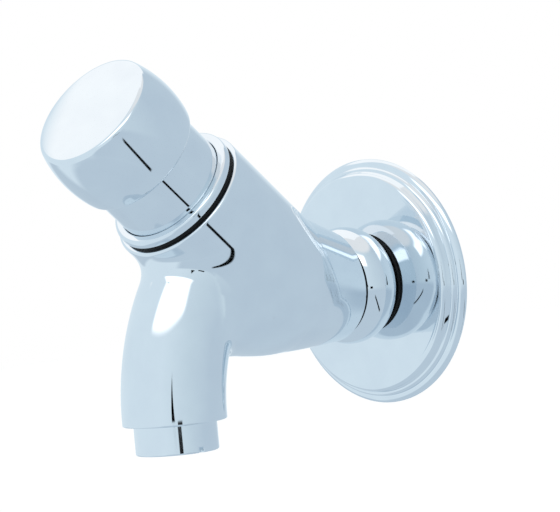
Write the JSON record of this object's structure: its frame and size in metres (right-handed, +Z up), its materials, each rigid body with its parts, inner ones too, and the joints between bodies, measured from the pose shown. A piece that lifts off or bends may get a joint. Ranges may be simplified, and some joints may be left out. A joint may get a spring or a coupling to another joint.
{
  "type": "push timed tap",
  "caption": "Wall push tap: slanted barrel with a round self-closing push button, bent spout with aerator, and a stepped round wall flange on a threaded inlet.",
  "frame": {"origin": "on the inlet axis, where the flange's back meets the wall plane", "axes": "+Y along the inlet thread into the wall, +Z up, +X to the right when looking at the tap from the front"},
  "size_m": [0.074, 0.1368, 0.1137],
  "materials": {
    "polished_chrome": "bright polished chrome plate on brass",
    "black_rubber": "moulded black nitrile rubber",
    "grey_foam": "cut grey closed-cell foam",
    "turned_brass": "fine turned brass",
    "stainless_steel": "bright drawn stainless steel",
    "white_acetal": "moulded white acetal"
  },
  "bodies": {
    "tap": {"tap_body": "polished_chrome", "wall_flange": "polished_chrome", "flange_gasket": "grey_foam", "inlet_tailpiece": "polished_chrome", "inlet_seal": "black_rubber", "tailpiece_o_ring": "black_rubber", "inlet_strainer": "stainless_steel", "aerator_housing": "polished_chrome", "aerator_insert": "white_acetal", "aerator_screen": "stainless_steel", "aerator_washer": "black_rubber", "bonnet_ring": "polished_chrome", "bonnet_seal": "black_rubber", "neck_wiper": "black_rubber", "cartridge_body": "turned_brass", "cartridge_cap": "turned_brass", "seat_o_ring": "black_rubber", "land_o_ring": "black_rubber", "guide_bush": "white_acetal", "stem_seal": "black_rubber", "return_spring": "stainless_steel"},
    "button": {"push_button": "polished_chrome", "button_sleeve": "polished_chrome", "stem": "stainless_steel", "stem_locknut": "turned_brass", "spring_cup": "stainless_steel", "piston": "white_acetal", "lip_seal": "black_rubber", "piston_clip": "stainless_steel", "timing_screw": "turned_brass", "valve_disc": "turned_brass", "valve_washer": "black_rubber", "valve_nut": "turned_brass"}
  },
  "joints": [
    {"name": "button_press", "type": "slide", "parent": "tap", "child": "button", "axis": [0, 0.749, -0.6626], "range_m": [0, 0.008], "stiffness_N_per_m": 1800, "springref_m": -0.012, "deforming": ["return_spring"]}
  ]
}
